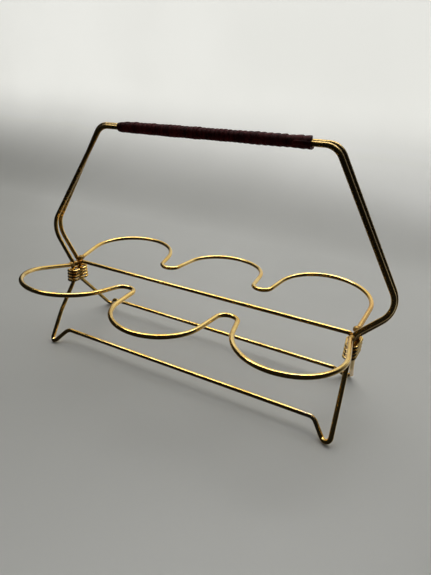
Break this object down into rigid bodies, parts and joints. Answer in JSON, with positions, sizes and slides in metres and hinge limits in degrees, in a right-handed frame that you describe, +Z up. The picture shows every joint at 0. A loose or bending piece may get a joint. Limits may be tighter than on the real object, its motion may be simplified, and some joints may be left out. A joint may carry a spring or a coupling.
{
  "type": "wire six-glass carrier",
  "caption": "Hand-held carrier of bent brass wire: twin handle bars under a leather lacing, scalloped rings for tumblers either side of a centre rod, coiled bindings and hairpin feet.",
  "frame": {"origin": "on the floor, under the middle of the carrier", "axes": "+X along the carrier and its handle, +Y towards the rear row of pockets, +Z up"},
  "size_m": [0.3577, 0.2092, 0.2351],
  "materials": {
    "frame_brass": "polished, worn and lightly tarnished",
    "binding_brass": "polished, darkened between the turns",
    "braze_metal": "dull copper-coloured brazing",
    "leather_lacing": "dark oxblood, waxed"
  },
  "bodies": {
    "root": {"front_frame_wire": "frame_brass", "rear_frame_wire": "frame_brass", "centre_rod": "frame_brass", "front_scallop_wire": "frame_brass", "rear_scallop_wire": "frame_brass", "left_binding_coil": "binding_brass", "right_binding_coil": "binding_brass", "left_waist_braze": "braze_metal", "right_waist_braze": "braze_metal", "grip_lacing": "leather_lacing"}
  },
  "joints": []
}
